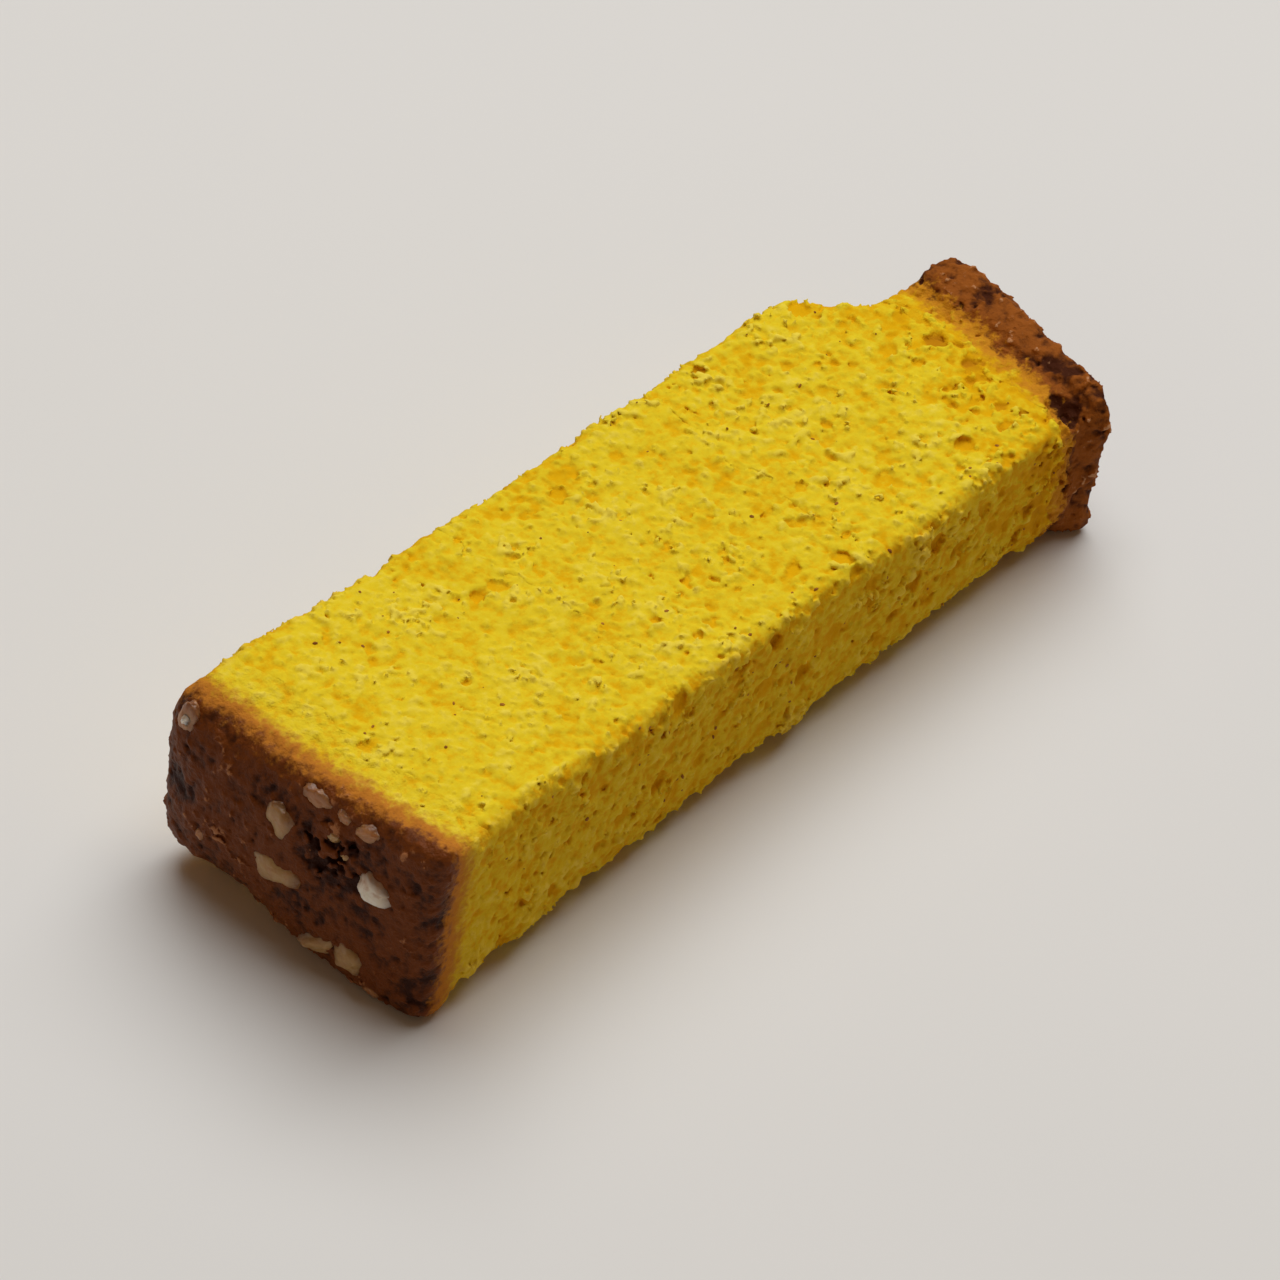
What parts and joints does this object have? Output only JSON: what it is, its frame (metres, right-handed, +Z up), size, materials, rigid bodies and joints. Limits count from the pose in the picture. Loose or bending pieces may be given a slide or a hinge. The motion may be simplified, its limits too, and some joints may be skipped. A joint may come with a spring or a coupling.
{
  "type": "castella sponge cake",
  "caption": "Finger of dense egg sponge lying on a cut side: open yellow crumb, sugared base crust on one end, browned top crust with a torn corner on the other.",
  "frame": {"origin": "middle of the underside: the lowest point of the cut side that the finger lies on, midway along its length and width", "axes": "+X along the finger from the sugared base crust to the browned top crust; +Y across it, to the side of the torn corner; +Z up"},
  "size_m": [0.0668, 0.0218, 0.0147],
  "materials": {
    "crumb": "matte",
    "base_crust": "satin",
    "top_crust": "matte",
    "coarse_sugar": "gloss",
    "crust_specks": "matte"
  },
  "bodies": {
    "root": {"castella_finger": "crumb"}
  },
  "joints": []
}
